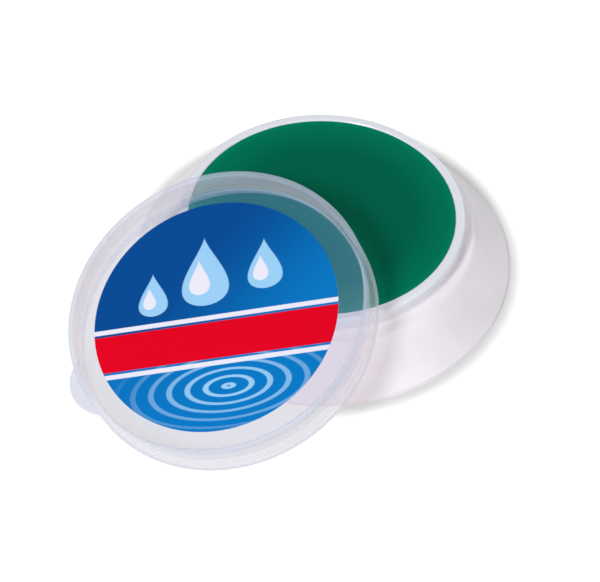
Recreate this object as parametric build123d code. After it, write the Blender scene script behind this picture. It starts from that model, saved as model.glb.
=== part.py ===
from build123d import *
from math import asin, atan2, cos, degrees, hypot, radians, sin, sqrt, tan
import os

# Finger moistener: a white flared dish with gel poured into its cup, and a snap lid with a round
# label, taken off and leaning on the dish. Sizes are in millimetres, +Z is up, and the
# origin is the centre of the dish's foot, on the table. The lid leans over the -Y side.

# Gel
gel_diameter = 45.2
gel_depth = 5.2
meniscus_rise = 0.1
meniscus_width = 1.5

# Dish: cup, neck and lip
floor_thickness = 1.0
floor_clearance = 5.45
rim_wall = 1.7
rim_freeboard = 0.3
lip_depth = 1.1
lip_overhang = 0.25
lip_rounding = 0.5
lip_softening = 2.0
rim_inner_rounding = 0.4
neck_height = 3.05
cup_foot_rounding = 0.6

# Dish: ledge, flared skirt and foot
ledge_width = 1.93
ledge_drop = 0.6
ledge_hollow = 0.8
shoulder_rounding = 1.2
skirt_wall = 1.3
foot_diameter = 64.7
foot_edge_height = 0.8
foot_edge_rounding = 0.4
skirt_root_rounding = 0.5

# Lid
panel_thickness = 0.8
lid_clearance = 0.1
lid_wall = 0.7
skirt_depth = 2.4
skirt_corner_rounding = 0.3
ring_height = 3.75
ring_width = 1.1
ring_inner_draft = 0.1
ring_outer_draft = 0.03
ring_outer_rounding = 0.4
ring_inner_rounding = 0.3
ring_foot_rounding = 0.75
edge_bead_proud = 0.15
edge_bead_height = 1.5
edge_bead_rounding = 0.3
edge_bead_softening = 0.1
snap_bite = 0.1
snap_land = 0.3
snap_offset = 0.2
snap_rounding = 0.2

# Lift tab on the lid's lower edge, placed by its angle round from the lid's lowest point
tab_width = 11.0
tab_reach = 2.6
tab_thickness = 1.0
tab_rounding = 0.3
tab_angle = 28.0

# Label on the lid's panel, stuck on a little off the middle
label_diameter = 41.0
label_thickness = 0.15
label_offset_x = -1.37
label_offset_y = -0.3

# Lean of the lid: gap to the dish's lip, the way from there to the lid's axis, and a step to the side
lean_gap = 0.42
lean_contact = 3.96
lean_side = 4.25

# Heights of the dish
floor_z = floor_clearance + floor_thickness
gel_z = floor_z + gel_depth
rim_z = gel_z + rim_freeboard
ledge_z = rim_z - neck_height
shoulder_z = ledge_z - ledge_drop

# Radii of the dish
gel_radius = gel_diameter / 2
lip_radius = gel_radius + rim_wall
neck_radius = lip_radius - lip_overhang
shoulder_radius = neck_radius + ledge_width
foot_radius = foot_diameter / 2

# Radii and heights of the lid, measured from its axis and from the underside of its panel
skirt_inner_radius = lip_radius + lid_clearance
lid_radius = skirt_inner_radius + lid_wall
lid_edge_radius = lid_radius + edge_bead_proud
snap_radius = lip_radius - snap_bite
snap_reach = skirt_inner_radius - snap_radius
ring_foot_radius = lid_radius - ring_width
ring_top_z = panel_thickness + ring_height


def turned(corners):
    """Solid turned about Z from corners (radius, height, rounding), first and last on the axis."""
    points = [(radius, height) for radius, height, rounding in corners]
    roundings = [rounding for radius, height, rounding in corners[1:-1]]
    with BuildPart() as solid:
        with BuildSketch(Plane.XZ):
            with BuildLine():
                FilletPolyline(*points, radius=roundings)
                Line(points[-1], points[0])
            make_face()
        revolve(axis=Axis.Z)
    return solid.part


def make_dish():
    """One thin-walled moulding: cup, lip, tapered neck, ledge and flared skirt, hollow underneath."""
    # The skirt's inside runs parallel to its outside, one wall in
    slope = atan2(shoulder_z - foot_edge_height, foot_radius - shoulder_radius)
    skirt_drop = skirt_wall / cos(slope)
    foot_inner_radius = foot_radius + foot_edge_height / tan(slope) - skirt_wall / sin(slope)
    ledge_under_z = ledge_z - skirt_wall
    return turned(
        [
            (0, floor_clearance, 0),
            (lip_radius, floor_clearance, cup_foot_rounding),
            (lip_radius, ledge_under_z, skirt_root_rounding),
            (shoulder_radius, shoulder_z - skirt_drop, shoulder_rounding),
            (foot_inner_radius, 0, 0),
            (foot_radius, 0, 0),
            (foot_radius, foot_edge_height, foot_edge_rounding),
            (shoulder_radius, shoulder_z, shoulder_rounding),
            (neck_radius, ledge_z, ledge_hollow),
            (lip_radius, rim_z - lip_depth, lip_softening),
            (lip_radius, rim_z, lip_rounding),
            (gel_radius, rim_z, rim_inner_rounding),
            (gel_radius, floor_z, 0),
            (0, floor_z, 0),
        ]
    )


def make_gel():
    """Gel poured into the cup, flat on top and drawn up a little at the wall."""
    edge = (gel_radius, gel_z + meniscus_rise)
    flat_end = (gel_radius - meniscus_width, gel_z)
    with BuildPart() as solid:
        with BuildSketch(Plane.XZ):
            with BuildLine():
                Polyline((0, gel_z), (0, floor_z), (gel_radius, floor_z), edge)
                TangentArc(flat_end, edge, tangent=(1, 0))
                Line(flat_end, (0, gel_z))
            make_face()
        revolve(axis=Axis.Z)
    return solid.part


def make_lid_shell():
    """Panel, raised ring and skirt, with a snap bead inside and a small bead round the edge."""
    bottom = -skirt_depth
    snap_low = bottom + snap_offset
    snap_high = snap_low + snap_land + 2 * snap_reach
    bead_top = bottom + edge_bead_height
    return turned(
        [
            (0, 0, 0),
            (skirt_inner_radius, 0, skirt_corner_rounding),
            (skirt_inner_radius, snap_high, 0),
            (snap_radius, snap_high - snap_reach, snap_rounding),
            (snap_radius, snap_low + snap_reach, snap_rounding),
            (skirt_inner_radius, snap_low, 0),
            (skirt_inner_radius, bottom, 0),
            (lid_edge_radius, bottom, edge_bead_rounding),
            (lid_edge_radius, bead_top, edge_bead_softening),
            (lid_radius, bead_top + edge_bead_proud, edge_bead_softening),
            (lid_radius - ring_outer_draft, ring_top_z, ring_outer_rounding),
            (ring_foot_radius + ring_inner_draft, ring_top_z, ring_inner_rounding),
            (ring_foot_radius, panel_thickness, ring_foot_rounding),
            (0, panel_thickness, 0),
        ]
    )


def make_lid():
    """Lid in its own frame, with the lift tab standing out from its lower edge."""
    half_width = tab_width / 2
    rise = tab_reach + lid_edge_radius - sqrt(lid_edge_radius**2 - half_width**2)
    tab_radius = (half_width**2 + rise**2) / (2 * rise)
    tab_centre = lid_edge_radius + tab_reach - tab_radius
    direction = radians(-90 - tab_angle)
    place = (tab_centre * cos(direction), tab_centre * sin(direction))
    with BuildPart() as solid:
        with BuildSketch(Plane.XY.offset(-skirt_depth)):
            with Locations(place):
                Circle(tab_radius)
            Circle(skirt_inner_radius, mode=Mode.SUBTRACT)
        extrude(amount=tab_thickness)
        outline = solid.edges().filter_by(GeomType.CIRCLE)
        fillet([edge for edge in outline if abs(edge.radius - tab_radius) < 1e-6], tab_rounding)
        add(make_lid_shell())
    return solid.part


def make_label():
    """Round label on top of the lid's panel, in the lid's frame."""
    with BuildPart() as solid:
        with BuildSketch(Plane.XY.offset(panel_thickness)):
            with Locations((label_offset_x, label_offset_y)):
                Circle(label_diameter / 2)
        extrude(amount=label_thickness)
    return solid.part


def lean():
    """Place of the lid's frame: lower edge on the table, panel a gap away from the dish's lip."""
    # Both contacts are rounded, so the lean is worked out between the centres of the roundings
    pivot_y = -(lip_radius - lip_rounding)
    pivot_z = rim_z - lip_rounding
    under = lip_rounding + lean_gap
    run = lean_contact + lid_edge_radius - edge_bead_rounding
    drop = skirt_depth - edge_bead_rounding - under
    fall = pivot_z - edge_bead_rounding
    tilt = asin(fall / hypot(run, drop)) - atan2(drop, run)
    centre_y = pivot_y - lean_contact * cos(tilt) - under * sin(tilt)
    centre_z = pivot_z - lean_contact * sin(tilt) + under * cos(tilt)
    print("lid tilt", round(degrees(tilt), 2), "panel centre", round(centre_y, 2), round(centre_z, 2))
    return Location((lean_side, centre_y, centre_z), (degrees(tilt), 0, 0))


lid_place = lean()
pieces = {
    "dish": make_dish(),
    "gel": make_gel(),
    "lid": lid_place * make_lid(),
    "label": lid_place * make_label(),
}

os.makedirs("parts", exist_ok=True)
for name, piece in pieces.items():
    export_step(piece, f"parts/{name}.step")
    print(name, "volume", round(piece.volume, 1), "box", piece.bounding_box().size)
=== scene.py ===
# %% [markdown]
# # A finger moistener, dressed around its solids
#
# A finger moistener is a small desk dish of set gel that wets the fingertips of someone who counts
# paper. This one lies open: a white flared dish full of green gel, and its frosted snap lid with a
# round printed label, taken off and leaning on the dish's lip. The rigid pieces come ready-made, at
# their real size, as a fixed frame. This file gives them their finishes, makes the gel and the label's
# sheet as meshes of their own, and sets the table, the lights and the camera.

# %% Load the rigid pieces as a fixed frame
import math

import bpy
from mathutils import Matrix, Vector


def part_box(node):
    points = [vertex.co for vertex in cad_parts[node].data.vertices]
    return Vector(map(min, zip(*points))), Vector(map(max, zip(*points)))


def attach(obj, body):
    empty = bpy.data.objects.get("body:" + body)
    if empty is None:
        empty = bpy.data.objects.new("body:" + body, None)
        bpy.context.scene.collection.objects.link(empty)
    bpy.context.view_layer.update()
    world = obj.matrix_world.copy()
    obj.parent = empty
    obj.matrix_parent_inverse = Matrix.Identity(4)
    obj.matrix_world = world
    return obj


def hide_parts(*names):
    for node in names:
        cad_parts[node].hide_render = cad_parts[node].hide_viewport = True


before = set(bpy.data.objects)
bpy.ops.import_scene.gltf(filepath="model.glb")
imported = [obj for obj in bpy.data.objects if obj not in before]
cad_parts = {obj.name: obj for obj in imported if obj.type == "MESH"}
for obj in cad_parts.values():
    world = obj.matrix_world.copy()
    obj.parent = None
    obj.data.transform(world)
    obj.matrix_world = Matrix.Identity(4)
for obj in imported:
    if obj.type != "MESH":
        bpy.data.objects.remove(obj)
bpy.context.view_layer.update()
mm = 0.001

# %% [markdown]
# ## Where things are
#
# The dish stands upright on the frame's Z axis, so its sizes are plain corners of boxes. The lid
# leans, so it has axes of its own: up out of its panel, sideways along X, and uphill towards the
# dish. They could be typed in as an angle, but then a change of the lean would leave the finishes
# behind. So they are measured: the label lies flat on the panel, and its upward faces give the
# lid's direction.


# %% Measure the dish and the gel
def points_of(node):
    """Corner points of a rigid piece, in metres."""
    return [vertex.co.copy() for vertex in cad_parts[node].data.vertices]


foot_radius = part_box("dish")[1].x / mm
gel_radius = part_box("gel")[1].x
gel_floor_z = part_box("gel")[0].z
gel_edge_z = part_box("gel")[1].z
gel_middle_z = (gel_floor_z + gel_edge_z) / 2
gel_flat_z = min(point.z for point in points_of("gel") if point.z > gel_middle_z)
print("foot radius in mm", round(foot_radius, 2), "gel radius in mm", round(gel_radius / mm, 2))

# %% Measure the leaning lid
facing_up = 0.5

label_faces = [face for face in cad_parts["label"].data.polygons if face.normal.z > facing_up]
lid_up = sum((face.normal * face.area for face in label_faces), Vector()).normalized()
lid_side = Vector((1, 0, 0))
lid_uphill = lid_up.cross(lid_side)


def in_lid(point):
    """A point's distances along the lid's sideways, uphill and upward axes."""
    return Vector((point.dot(lid_side), point.dot(lid_uphill), point.dot(lid_up)))


lid_points = [in_lid(point) for point in points_of("lid")]
label_points = [in_lid(point) for point in points_of("label")]
panel_top = min(point.z for point in label_points)


def centre_of(points):
    """Middle of a piece of the lid, at the height of the panel's top."""

    def middle(values):
        return (min(values) + max(values)) / 2

    return Vector((middle([point.x for point in points]), middle([point.y for point in points]), panel_top))


lid_centre = centre_of(lid_points)
label_centre = centre_of(label_points)
label_radius = max((point - label_centre).xy.length for point in label_points)
lid_tilt = math.degrees(math.acos(lid_up.z))
print("lid tilt", round(lid_tilt, 2), "label radius in mm", round(label_radius / mm, 2))

# %% [markdown]
# ## The camera
#
# The photograph looks down at the dish from a little under half a right angle, with a long lens
# from about a third of a metre. A focal length measured in pixels becomes a lens by the width of
# the picture and of the sensor. The camera could be turned by angles, but tracking a direction is
# safer: it points its own -Z at the aim and keeps its Y up. The lamps are hung in the same way.

# %% Set up the camera
picture_width = 600
focal_length_in_pixels = 2005.7
view_distance = 0.34339
view_azimuth = 43.53
view_elevation = 48.29
aim = Vector((2.22, -7.75, 0.0)) * mm


def outward(azimuth, elevation):
    """A direction away from the object, by degrees round from its front and up from the table."""
    turn = math.radians(azimuth)
    rise = math.radians(elevation)
    return Vector((math.sin(turn) * math.cos(rise), -math.cos(turn) * math.cos(rise), math.sin(rise)))


def hang(name, data, target, distance, direction):
    """Put a camera or a lamp at a distance from its target, looking back at it."""
    hung = bpy.data.objects.new(name, data)
    hung.location = target + distance * direction
    hung.rotation_euler = (-direction).to_track_quat("-Z", "Y").to_euler()
    bpy.context.scene.collection.objects.link(hung)
    return hung


camera_data = bpy.data.cameras.new("camera")
camera_data.sensor_width = 36.0
camera_data.lens = camera_data.sensor_width * focal_length_in_pixels / picture_width
camera = hang("camera", camera_data, aim, view_distance, outward(view_azimuth, view_elevation))
bpy.context.scene.camera = camera
bpy.context.scene.view_settings.view_transform = "Standard"
print("lens in mm", round(camera_data.lens, 1))

# %% [markdown]
# ## Writing shaders as sums
#
# A finish is a small sum: this colour where that distance is short, a little rougher there. Nodes
# can be wired by hand, one link at a time, but a formula reads better. The class below wraps a
# socket, so that adding or multiplying two of them adds a Math node. Colours and vectors go through
# their own nodes, and any other node comes from the one method called node.


# %% A socket that takes part in sums
class Wire:
    """An output socket of a shader tree. Without a socket it is only the tree's starting point."""

    def __init__(self, tree, socket=None):
        self.tree = tree
        self.socket = socket

    def plug(self, value, target):
        """Link a wire to an input socket, or set the socket to a plain value."""
        if isinstance(value, Wire):
            self.tree.links.new(value.socket, target)
        else:
            target.default_value = value

    def node(self, kind, settings=None, sockets=None, out=0):
        """Add a node: its settings are set first, then its sockets get values or links."""
        made = self.tree.nodes.new("ShaderNode" + kind)
        for name, value in (settings or {}).items():
            setattr(made, name, value)
        for key, value in (sockets or {}).items():
            self.plug(value, made.inputs[key])
        return Wire(self.tree, made.outputs[out])

    def maths(self, operation, *values):
        """Add a Math node that works on these values."""
        return self.node("Math", {"operation": operation}, dict(enumerate(values)))

    def __add__(self, other):
        return self.maths("ADD", self, other)

    def __radd__(self, other):
        return self.maths("ADD", other, self)

    def __sub__(self, other):
        return self.maths("SUBTRACT", self, other)

    def __rsub__(self, other):
        return self.maths("SUBTRACT", other, self)

    def __mul__(self, other):
        return self.maths("MULTIPLY", self, other)

    def __rmul__(self, other):
        return self.maths("MULTIPLY", other, self)

    def __truediv__(self, other):
        return self.maths("DIVIDE", self, other)

    def __rtruediv__(self, other):
        return self.maths("DIVIDE", other, self)

    def __pow__(self, other):
        return self.maths("POWER", self, other)

    def __rpow__(self, other):
        return self.maths("POWER", other, self)

    def __abs__(self):
        return self.maths("ABSOLUTE", self)


print("made", Wire.__name__, "for sums of sockets")


# %% Masks and places
def ease(value, start, end):
    """0 before start and 1 after end, with a smooth step between them."""
    sockets = {"Value": value, "From Min": start, "From Max": end}
    return value.node("MapRange", {"interpolation_type": "SMOOTHSTEP"}, sockets)


def blend(mask, below, above):
    """One colour over another where the mask is 1."""
    return mask.node("Mix", {"data_type": "RGBA"}, {0: mask, 6: below, 7: above}, out=2)


def along(place, direction):
    """How far a place lies along a direction, in millimetres."""
    settings = {"operation": "DOT_PRODUCT"}
    return place.node("VectorMath", settings, {0: place, 1: Vector(direction) / mm}, out="Value")


def axis_distance(place):
    """How far a place is from the dish's axis, in millimetres."""
    return (along(place, (1, 0, 0)) ** 2 + along(place, (0, 1, 0)) ** 2) ** 0.5


def show(material, surface):
    """Let a mix of shaders be what a material shows."""
    surface.plug(surface, material.node_tree.nodes["Material Output"].inputs["Surface"])


print("made", [helper.__name__ for helper in (ease, blend, along, axis_distance, show)])

# %% [markdown]
# ## The table
#
# The object stands on a white table that melts into a white background. A white background could be
# had by more light, but that would burn out the white dish. So where the camera sees the table
# plainly, it glows a little of its own, and the lamps stay at a plain level, where a colour renders
# about as it is written. The glow stands in for light from all round, which the dish keeps off the
# table close to its foot. An Ambient Occlusion node could find those places, but it is slow, and the
# foot is a plain circle, so the glow fades by the distance from it. Behind the lid's skins the table
# glows a little less, because the lid shades it. For all other rays the table is plain matt white.
# Seen from below it is clear, and so is the patch that the dish covers, so that the hollow underside
# can be looked at in some light.

# %% Lay the table
table_half_width = 3.0
table_drop = 0.02 * mm


def lay_out(name, corners, faces):
    """A new mesh object in the scene."""
    mesh = bpy.data.meshes.new(name)
    mesh.from_pydata(corners, [], faces)
    piece = bpy.data.objects.new(name, mesh)
    bpy.context.scene.collection.objects.link(piece)
    return piece


table_corners = [
    (side * table_half_width, depth * table_half_width, -table_drop)
    for side, depth in [(-1, -1), (1, -1), (1, 1), (-1, 1)]
]
table = lay_out("table", table_corners, [(0, 1, 2, 3)])
print("table", 2 * table_half_width, "m wide")

# %% Make the table white
table_white = (0.93, 0.93, 0.93, 1)
table_seen = (0.3, 0.3, 0.3, 1)
table_behind_lid = (0.15, 0.15, 0.15, 1)
table_glow = 0.85
glow_behind_lid = 0.75
contact_glow = 0.45
contact_reach = 3.4
covered_margin = 0.5
less_than_one_skin = 0.5

table_finish = bpy.data.materials.new("white table")
table_finish.use_nodes = True
table_start = Wire(table_finish.node_tree)
by_camera = table_start.node("LightPath", out="Is Camera Ray")
skins_crossed = table_start.node("LightPath", out="Transparent Depth")
plainly = by_camera * table_start.maths("LESS_THAN", skins_crossed, less_than_one_skin)
from_axis = axis_distance(table_start.node("TexCoord", out="Object"))
# Close to the dish's foot the glow fades: a painted contact shadow on the table.
open_share = contact_glow + (1 - contact_glow) * ease(from_axis, foot_radius, foot_radius + contact_reach)
# Behind the lid's skins the glow is lower: painted shade of the lid on the table.
glow_level = plainly * table_glow * open_share + (by_camera - plainly) * glow_behind_lid
glow = table_start.node("Emission", None, {"Color": glow_level})
shade = blend(by_camera, table_white, blend(plainly, table_behind_lid, table_seen))
matt = table_start.node("BsdfDiffuse", None, {"Color": shade})
upper_side = table_start.node("AddShader", None, {0: matt, 1: glow})
lower_side = table_start.node("BsdfTransparent")
seen_from_below = table_start.node("NewGeometry", out="Backfacing")
covered = table_start.maths("LESS_THAN", from_axis, foot_radius - covered_margin)
clear_patch = table_start.maths("MAXIMUM", seen_from_below, covered)
show(table_finish, table_start.node("MixShader", None, {0: clear_patch, 1: upper_side, 2: lower_side}))
table.data.materials.append(table_finish)
print("table finish", table_finish.name)

# %% [markdown]
# ## Three lamps and the sky
#
# The photograph was lit from several sides. A small lamp stands on the lid's side, to the left of the
# camera, so that the lid throws a plain shadow on the gel. Two wide, low lamps lift the right side
# and the back, and the sky lights the rest. One big lamp overhead would be simpler, but it would
# leave that shadow out. The lamps hang two metres away, so that the table is lit evenly. The wider a
# lamp is, the softer its shadows are, so only the two lamps at the right and the back are wide.

# %% Hang the lamps
lamp_distance = 2.0
key_width = 0.4
side_width = 1.25


def lamp(name, azimuth, elevation, level, width):
    """A square soft lamp, placed by degrees round from the camera and up. A white card shows its level."""
    light = bpy.data.lights.new(name, "AREA")
    light.size = width
    light.energy = level * math.pi**2 * lamp_distance**2
    hang(name, light, Vector(), lamp_distance, outward(view_azimuth + azimuth, elevation))


lamp("key lamp", azimuth=-33, elevation=45, level=0.82, width=key_width)
lamp("right lamp", azimuth=60, elevation=25, level=0.17, width=side_width)
lamp("back lamp", azimuth=150, elevation=25, level=0.25, width=side_width)
print("lamps", [light.name for light in bpy.data.lights])

# %% Set the sky
sky_level = 0.25

sky = bpy.data.worlds.new("white sky")
sky.use_nodes = True
bpy.context.scene.world = sky
sky_start = Wire(sky.node_tree)
seen_directly = sky_start.node("LightPath", out="Is Camera Ray")
seen_in_gloss = sky_start.node("LightPath", out="Is Glossy Ray")
seen_through = sky_start.node("LightPath", out="Is Transmission Ray")
seen = sky_start.maths("MAXIMUM", sky_start.maths("MAXIMUM", seen_directly, seen_in_gloss), seen_through)
sky_light = sky.node_tree.nodes["Background"]
sky_light.inputs["Color"].default_value = (1, 1, 1, 1)
seen.plug(sky_level + (1 - sky_level) * seen, sky_light.inputs["Strength"])
print("sky", sky.name, "at", sky_level)

# %% [markdown]
# ## The dish
#
# The dish is one white injection moulding with a satin skin. White plastic is never one flat white:
# the moulding has soft clouds where it cooled, and a skin of tiny pits that blurs what it mirrors.
# A picture of plastic could be wrapped round it, but noise in the piece's own coordinates needs no
# wrapping and keeps its scale. The top of the dish round its rim is painted a cooler white: painted light
# of the green gel that shows through the thin plastic there.


# %% Helpers for finishes
def display(red, green, blue):
    """A colour as a screen shows it, 0 to 255, turned into linear values by the standard sRGB curve."""

    def linear(level):
        share = level / 255
        return share / 12.92 if share <= 0.04045 else ((share + 0.055) / 1.055) ** 2.4

    return (linear(red), linear(green), linear(blue), 1.0)


def noise(place, grain, detail=2.0):
    """Soft noise from 0 to 1 whose blobs are about grain millimetres across."""
    return place.node("TexNoise", None, {"Vector": place, "Scale": 1 / (grain * mm), "Detail": detail})


def between(share, low, high):
    """A number that goes from low to high as the share goes from 0 to 1."""
    return low + (high - low) * share


def bumps(height, depth, strength):
    """Small relief on a surface: height 1 stands up by depth millimetres."""
    sockets = {"Height": height, "Distance": depth * mm, "Strength": strength}
    return height.node("Bump", None, sockets, out="Normal")


def new_finish(name):
    """A material with its Principled shader, and a wire that gives places on the piece."""
    material = bpy.data.materials.new(name)
    material.use_nodes = True
    shader = material.node_tree.nodes["Principled BSDF"]
    place = Wire(material.node_tree).node("TexCoord", out="Object")
    return material, shader, place


def feed(shader, **values):
    """Set or link sockets of a shader, written with _ for a space."""
    for name, value in values.items():
        Wire(shader.id_data).plug(value, shader.inputs[name.replace("_", " ")])


def wear_finish(node, material):
    """Give a rigid piece its finish."""
    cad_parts[node].data.materials.clear()
    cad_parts[node].data.materials.append(material)


print("mid grey on a screen is", round(display(128, 128, 128)[0], 3), "in linear values")

# %% Satin white plastic
dish_white = display(231, 226, 233)
dish_cloud = display(224, 219, 226)
# The top of the dish is painted a cooler white: painted light of the green gel that shows through the thin
# plastic.
rim_painted_gel_light = display(219, 221, 231)
cloud_start = 0.35
cloud_full = 0.7

dish_finish, dish_shader, dish_place = new_finish("satin white plastic")
clouds = noise(dish_place, grain=9.0)
pits = noise(dish_place, grain=0.5, detail=3.0)
# Mask for that painted light: the dish above the middle of the gel.
on_rim = ease(along(dish_place, (0, 0, 1)), gel_middle_z / mm, gel_edge_z / mm)
body_white = blend(ease(clouds, cloud_start, cloud_full), dish_white, dish_cloud)
feed(
    dish_shader,
    Base_Color=blend(on_rim, body_white, rim_painted_gel_light),
    Roughness=between(clouds, 0.16, 0.28),
    Normal=bumps(pits, depth=0.02, strength=0.25),
    Specular_IOR_Level=0.45,
)
wear_finish("dish", dish_finish)
print("dish finish", dish_finish.name)

# %% [markdown]
# ## The gel
#
# The gel is poured warm into the cup and sets there. It clings to the wall, so its edge is drawn up
# in a small curve, and its top is flat but not perfect: it keeps faint swells from the pour. The
# solid model has only a plain turned block for it. Here the gel is a disc of rings, dense near the
# wall where the surface bends, with the swells worked into the heights.

# %% The gel's surface
meniscus_width = 1.5 * mm
swell_height = 0.02 * mm
swell_calm = 6
# Each swell: waves round the cup, strength, twist towards the wall, and where it starts
swells = [(2, 1.0, 3.0, 0.0), (3, 0.6, -5.0, 1.0)]


def gel_height(radius, angle):
    """Height of the gel's surface: the curve up to the wall, and faint swells that die out there."""
    climb = max(0.0, 1 - (gel_radius - radius) / meniscus_width)
    share = radius / gel_radius
    swell = 0.0
    for waves, strength, twist, start in swells:
        swell += strength * math.sin(waves * angle + twist * share + start)
    calm = share * (1 - share**swell_calm)
    return gel_flat_z + (gel_edge_z - gel_flat_z) * climb**2 + swell_height * swell * calm


print("gel climbs by mm", round((gel_height(gel_radius, 0) - gel_height(0, 0)) / mm, 3))

# %% Pour the gel
gel_rings = 48
gel_spokes = 192
wall_gap = 0.01 * mm
gel_sharp_edge = math.radians(50)


def join_rings(first, second):
    """Four-sided faces between two closed rings of corners that are listed in step."""
    count = len(first)
    steps = [(spoke, (spoke + 1) % count) for spoke in range(count)]
    return [(first[spoke], second[spoke], second[after], first[after]) for spoke, after in steps]


def pour_gel():
    """Closed mesh of the gel: the poured surface, the wall and the floor of the cup."""
    corners = [(0, 0, gel_height(0, 0))]
    rings = []
    for ring in range(1, gel_rings + 1):
        radius = (gel_radius - wall_gap) * math.sin(math.pi / 2 * ring / gel_rings)
        rings.append(range(len(corners), len(corners) + gel_spokes))
        for spoke in range(gel_spokes):
            angle = 2 * math.pi * spoke / gel_spokes
            height = gel_height(radius, angle)
            corners.append((radius * math.cos(angle), radius * math.sin(angle), height))
    rings.append(range(len(corners), len(corners) + gel_spokes))
    corners += [(corners[corner][0], corners[corner][1], gel_floor_z) for corner in rings[-2]]
    faces = [(0, rings[0][spoke], rings[0][(spoke + 1) % gel_spokes]) for spoke in range(gel_spokes)]
    for inner, outer in zip(rings, rings[1:]):
        faces += join_rings(inner, outer)
    faces.append(tuple(reversed(rings[-1])))
    return corners, faces


gel = lay_out("gel_surface", *pour_gel())
gel.data.shade_smooth()
gel.data.set_sharp_from_angle(angle=gel_sharp_edge)
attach(gel, "base")
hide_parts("gel")
print("gel faces", len(gel.data.polygons))

# %% [markdown]
# ## The gel's colour
#
# Set gel is deep green and a little clear: towards the white wall of the cup more light comes back
# through it, so it grows lighter, most of all in the thin curved edge. A volume could do that, but
# it is slow and noisy. The colour by distance from the axis gives the same look. The moist skin is
# smooth, but its mirror image is tinted by the gel.

# %% Deep green gel
gel_deep = display(0, 92, 69)
gel_lit = display(0, 110, 83)
gel_edge = display(2, 124, 92)
gel_sheen = (0.0, 1.0, 0.75, 1)
deep_radius = 14.0
edge_share = 0.7

gel_finish, gel_shader, gel_place = new_finish("deep green gel")
gel_reach = axis_distance(gel_place)
near_wall = ease(gel_reach, deep_radius, gel_radius / mm)
thin_edge = ease(gel_reach, (gel_radius - meniscus_width) / mm, gel_radius / mm)
ripple = noise(gel_place, grain=4.0)
feed(
    gel_shader,
    Base_Color=blend(thin_edge * edge_share, blend(near_wall, gel_deep, gel_lit), gel_edge),
    Roughness=between(ripple, 0.36, 0.46),
    Normal=bumps(ripple, depth=0.01, strength=0.15),
    Specular_IOR_Level=0.02,
    Specular_Tint=gel_sheen,
)
gel.data.materials.append(gel_finish)
print("gel finish", gel_finish.name)

# %% [markdown]
# ## The lid
#
# The lid is thin frosted plastic, like the lid of a food tub. It scatters some of the light and lets
# the rest through: the flat panel is nearly clear, and the standing ring round it is milky. Fine
# frost throws back blue more than red and passes the rest on, so the lid looks bluish over the dark
# gel and plain white over white things. Real glass shaders bend light and leave hard dark shadows,
# so each skin of the plastic is a mix of clear and milk instead, and the milk is lit from both
# sides. A line of sight crosses two skins, and each of them has to hide less than both together.
# The faces inside the skirt would be a third and a fourth skin, so they are left quite clear.


# %% Places on the lid
def band(value, centre, half_width, softness):
    """1 within half_width of the centre and 0 further away."""
    return ease(abs(value - centre), half_width + softness, half_width)


def lid_places(place):
    """Distances sideways, uphill and up from the middle of the lid's panel, in millimetres."""
    across = along(place, lid_side) - lid_centre.x / mm
    uphill = along(place, lid_uphill) - lid_centre.y / mm
    height = along(place, lid_up) - lid_centre.z / mm
    return across, uphill, height


ring_foot_radius = 24.0
ring_foot_rounding = 0.75
foot_line_height = 0.55
foot_line_half_width = 0.1
foot_line_softness = 0.5
skirt_middle_radius = 24.7
panel_thickness = 0.8
inside_softness = 0.1

lid_finish, lid_shader, lid_place = new_finish("frosted lid plastic")
lid_across, lid_along, lid_height = lid_places(lid_place)
lid_reach = (lid_across**2 + lid_along**2) ** 0.5
on_ring = ease(lid_reach, ring_foot_radius - ring_foot_rounding / 2, ring_foot_radius)
foot_line = on_ring * band(lid_height, foot_line_height, foot_line_half_width, foot_line_softness)
inner_face = ease(lid_reach, skirt_middle_radius, skirt_middle_radius - inside_softness)
under_panel = ease(lid_height, -panel_thickness, -panel_thickness - inside_softness)
print("lid centre in mm", [round(value / mm, 2) for value in lid_centre])

# %% Frosted plastic
panel_cover = 0.19
ring_cover = 0.53
foot_cover = 0.40
thin_milk = 0.92
thick_milk = 1.08

panel_haze = display(100, 180, 238)
ring_milk = display(173, 200, 226)
foot_milk = display(176, 204, 228)
milk_passes = display(142, 122, 116)
clear_tint = (0.975, 0.94, 0.92, 1)


def skin_cover(cover):
    """What one skin hides, so that two of them hide the given share."""
    return 1 - math.sqrt(1 - cover)


milk = noise(lid_place, grain=6.0)
cover = skin_cover(panel_cover) + on_ring * (skin_cover(ring_cover) - skin_cover(panel_cover))
cover = cover + foot_line * (skin_cover(foot_cover) - skin_cover(ring_cover))
feed(
    lid_shader,
    Base_Color=blend(foot_line, blend(on_ring, panel_haze, ring_milk), foot_milk),
    Roughness=between(milk, 0.4, 0.5),
    Normal=bumps(noise(lid_place, grain=0.6), depth=0.01, strength=0.1),
    Specular_IOR_Level=0.35,
)
print("skins hide", round(skin_cover(panel_cover), 3), round(skin_cover(ring_cover), 3))

# %% Mix the lid's clear and milky skins
clear = lid_place.node("BsdfTransparent", None, {"Color": clear_tint})
thrown_back = Wire(lid_finish.node_tree, lid_shader.outputs[0])
passed_on = lid_place.node("BsdfTranslucent", None, {"Color": milk_passes})
milky = lid_place.node("AddShader", None, {0: thrown_back, 1: passed_on})
hidden = cover * between(milk, thin_milk, thick_milk)
outside = lid_place.node("MixShader", None, {0: hidden, 1: clear, 2: milky})
inside = lid_place.node("BsdfTransparent")
show(lid_finish, lid_place.node("MixShader", None, {0: inner_face * under_panel, 1: outside, 2: inside}))
wear_finish("lid", lid_finish)
print("lid finish", lid_finish.name)

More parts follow.
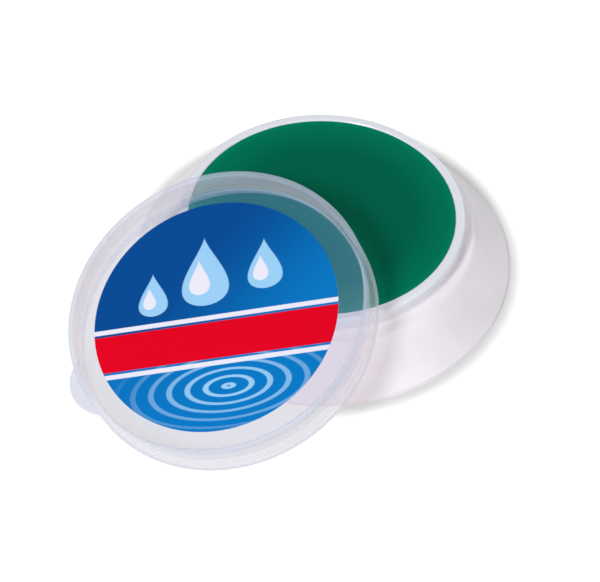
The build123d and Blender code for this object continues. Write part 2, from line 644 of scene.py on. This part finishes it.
# %% [markdown]
# ## The label's sheet
#
# The label is a round sheet of coated paper, stuck on the panel a little off its middle. The solid
# model's disc touches the panel with its whole underside, and two faces in one place show as a
# patchwork when they are seen through the clear panel from below. The sheet gets a mesh of its own,
# a hair thinner, with the film of glue left out and its cut edge eased. The photograph shows the lid's
# shadow on the gel, but none of the label's on the dish's front. None of the lamp settings that were
# tried gave both, so the sheet is set to throw no shadow at all. The lid still throws its own.

# %% Cut the label's sheet
label_spokes = 160
glue_film = 0.02 * mm
cut_easing = 0.03 * mm


def cut_label():
    """Closed thin disc: points round the top, the eased edge and the underside."""
    sheet_top = max(point.z for point in label_points)
    profile = [
        (label_radius - cut_easing, sheet_top),
        (label_radius, sheet_top - cut_easing),
        (label_radius, panel_top + glue_film),
    ]
    corners = []
    rings = []
    for radius, height in profile:
        rings.append(range(len(corners), len(corners) + label_spokes))
        for spoke in range(label_spokes):
            angle = 2 * math.pi * spoke / label_spokes
            across = label_centre.x + radius * math.cos(angle)
            uphill = label_centre.y + radius * math.sin(angle)
            corners.append(lid_side * across + lid_uphill * uphill + lid_up * height)
    faces = [tuple(rings[0]), tuple(reversed(rings[-1]))]
    for upper, lower in zip(rings, rings[1:]):
        faces += join_rings(upper, lower)
    return corners, faces


label = lay_out("label_sheet", *cut_label())
label.visible_shadow = False
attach(label, "cover")
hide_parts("label")
print("label faces", len(label.data.polygons))

# %% [markdown]
# ## The label's print
#
# The label is printed in blue and red. Its design is plain and made for this part:
# three drops that fall on rippled water, and a red sash with white hairlines. A print could be an
# image, but shapes from formulas stay sharp at any size. Each layer is a mask between 0 and 1, and
# the layers are laid one over another like inks. The back and the cut edge stay white.

# %% Turn the print on the label
print_turn = math.radians(44)

label_finish, label_shader, label_place = new_finish("printed label")
label_across, label_along, label_height = lid_places(label_place)
from_left = label_across - (label_centre.x - lid_centre.x) / mm
from_low = label_along - (label_centre.y - lid_centre.y) / mm
right = from_left * math.cos(print_turn) + from_low * math.sin(print_turn)
up = from_low * math.cos(print_turn) - from_left * math.sin(print_turn)
print("print turned by", round(math.degrees(print_turn)), "degrees")

# %% Blue ground and rippled water
ink_navy = display(2, 70, 140)
ink_blue = display(4, 116, 190)
ink_sky = display(150, 200, 238)
edge_softness = 0.12
navy_until = -16.0
blue_from = 22.0
water_line = -7.8
water_share = 0.8
ripple_centre_right = 2.0
ripple_centre_up = -13.0
ripple_flatness = 2.3
ripple_step = 3.04
ripple_reach = 22.0
ripple_full = 2.0
crest_start = 0.35
crest_full = 0.8

ink = blend(ease(right - up, navy_until, blue_from), ink_navy, ink_blue)
ripple_rise = (up - ripple_centre_up) * ripple_flatness
rings = ((right - ripple_centre_right) ** 2 + ripple_rise**2) ** 0.5
wave = rings.maths("SINE", rings * (2 * math.pi / ripple_step))
crest = ease(wave, crest_start, crest_full)
on_water = ease(up, water_line + edge_softness, water_line - edge_softness)
ink = blend(on_water * water_share, ink, ink_blue)
ink = blend(on_water * crest * ease(rings, ripple_reach, ripple_full), ink, ink_sky)
print("ripples", ripple_step, "mm apart")

# %% Falling drops
paper_white = display(228, 226, 240)
drop_widest = 0.325
shine_left = 0.12
shine_up = 0.16
shine_tall = 0.52
shine_wide = 0.46


def drop(foot_right, foot_up, tall, wide):
    """Mask of a falling drop: round below, drawn out to a point above."""
    share = (up - foot_up) / tall
    share = share.maths("MINIMUM", share.maths("MAXIMUM", share, 0.0), 1.0)
    half_width = (wide / 2 / drop_widest) * share**0.5 * (1 - share) ** 1.5
    return ease(half_width - abs(right - foot_right), 0.0, edge_softness * 2)


def shiny_drop(ink, foot_right, foot_up, tall, wide):
    """A pale drop with a white shine in it, laid over the inks so far."""
    shine_foot_right = foot_right - shine_left * wide
    shine_foot_up = foot_up + shine_up * tall
    shine = drop(shine_foot_right, shine_foot_up, shine_tall * tall, shine_wide * wide)
    ink = blend(drop(foot_right, foot_up, tall, wide), ink, ink_sky)
    return blend(shine, ink, paper_white)


ink = shiny_drop(ink, foot_right=-1.5, foot_up=1.8, tall=13.0, wide=8.2)
ink = shiny_drop(ink, foot_right=-10.4, foot_up=1.2, tall=8.2, wide=5.2)
ink = shiny_drop(ink, foot_right=8.6, foot_up=3.4, tall=9.6, wide=6.1)
print("nodes with the drops", len(label_finish.node_tree.nodes))

# %% Red sash, white back and paper
ink_red = display(218, 0, 31)
sash_middle = -4.6
sash_half_height = 3.2
hairline_gap = 0.9
hairline = 0.35
print_height = 0.12
bare_height = 0.08

hairlines = band(abs(up - sash_middle), sash_half_height + hairline_gap, hairline, edge_softness)
ink = blend(hairlines, ink, paper_white)
ink = blend(band(up, sash_middle, sash_half_height, edge_softness), ink, ink_red)
ink = blend(ease(label_height, print_height, bare_height), ink, paper_white)
fibre = noise(label_place, grain=0.35, detail=3.0)
feed(
    label_shader,
    Base_Color=ink,
    Roughness=between(fibre, 0.42, 0.52),
    Normal=bumps(fibre, depth=0.01, strength=0.15),
    Specular_IOR_Level=0.05,
)
label.data.materials.append(label_finish)
print("label nodes", len(label_finish.node_tree.nodes))
